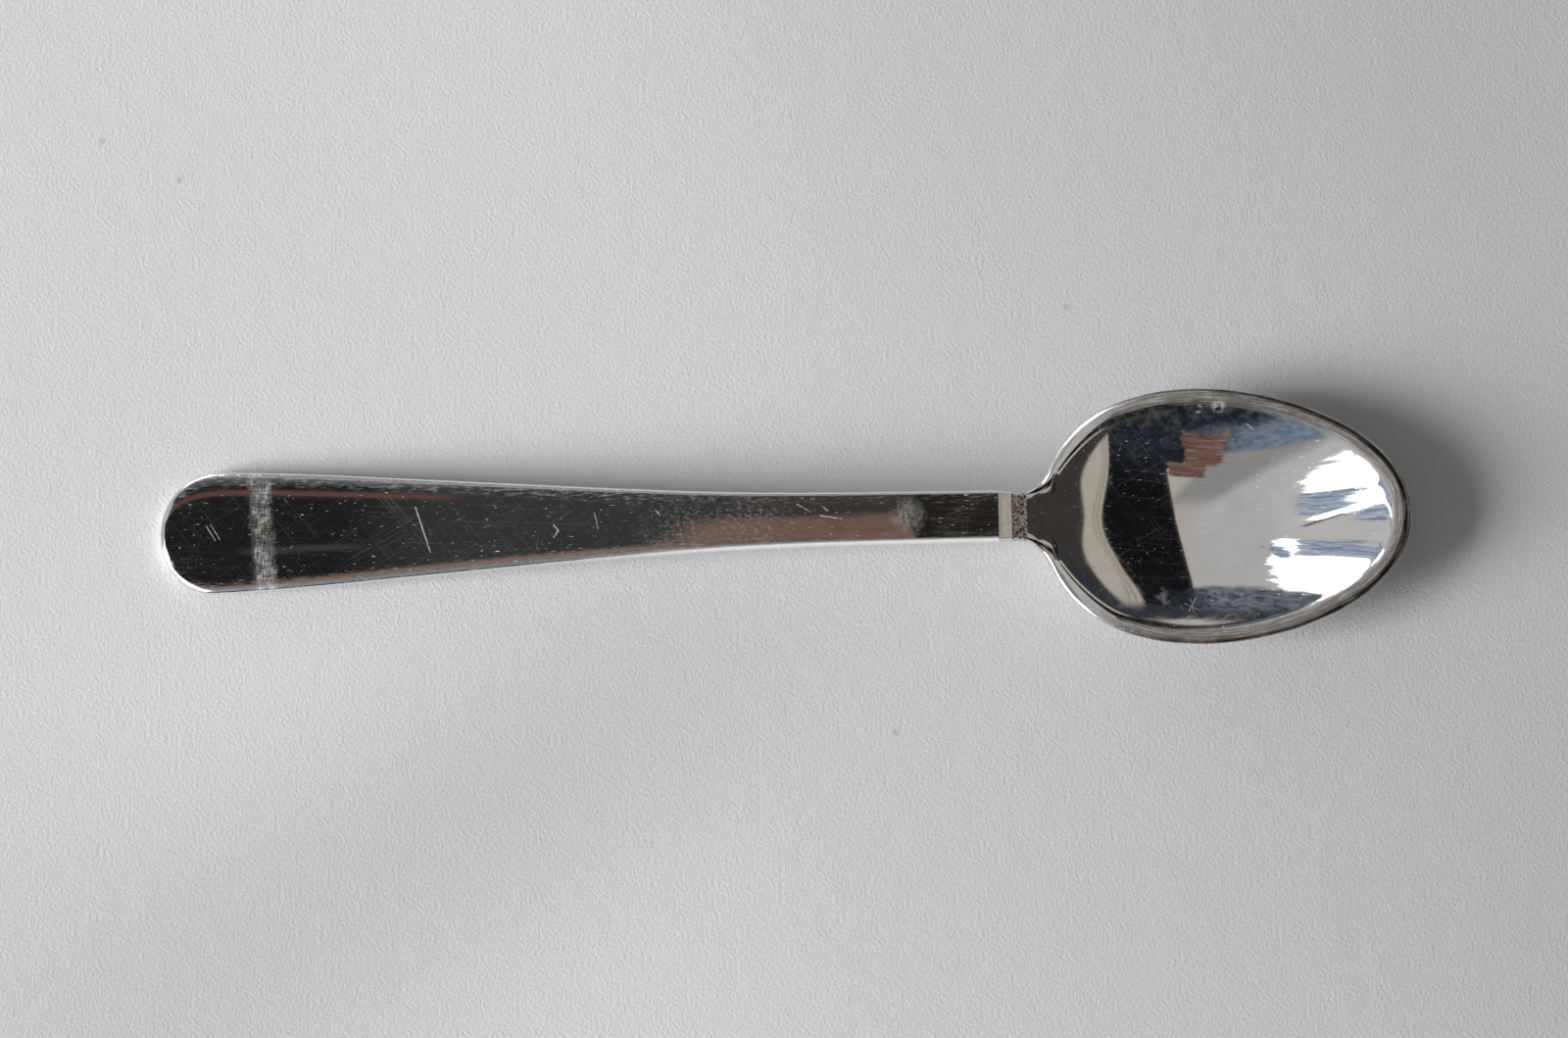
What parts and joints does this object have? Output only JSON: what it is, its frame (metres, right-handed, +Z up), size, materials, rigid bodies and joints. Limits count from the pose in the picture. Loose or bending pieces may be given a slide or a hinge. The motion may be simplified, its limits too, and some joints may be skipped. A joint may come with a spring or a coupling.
{
  "type": "teaspoon",
  "caption": "Silver-plated teaspoon with an egg-shaped bowl, a drop under its heel and a flat-faced stem that widens to a broad rounded end.",
  "frame": {"origin": "middle of the spoon's length and width, on the table that it lies on", "axes": "+X along the spoon towards the tip of the bowl, +Y across it, +Z up, out of the open bowl"},
  "size_m": [0.1358, 0.0278, 0.01],
  "materials": {
    "silver_plate": "polished silver plate, worn and scratched by use"
  },
  "bodies": {
    "root": {"bowl": "silver_plate", "drop": "silver_plate", "stem": "silver_plate", "stem_end": "silver_plate"}
  },
  "joints": []
}
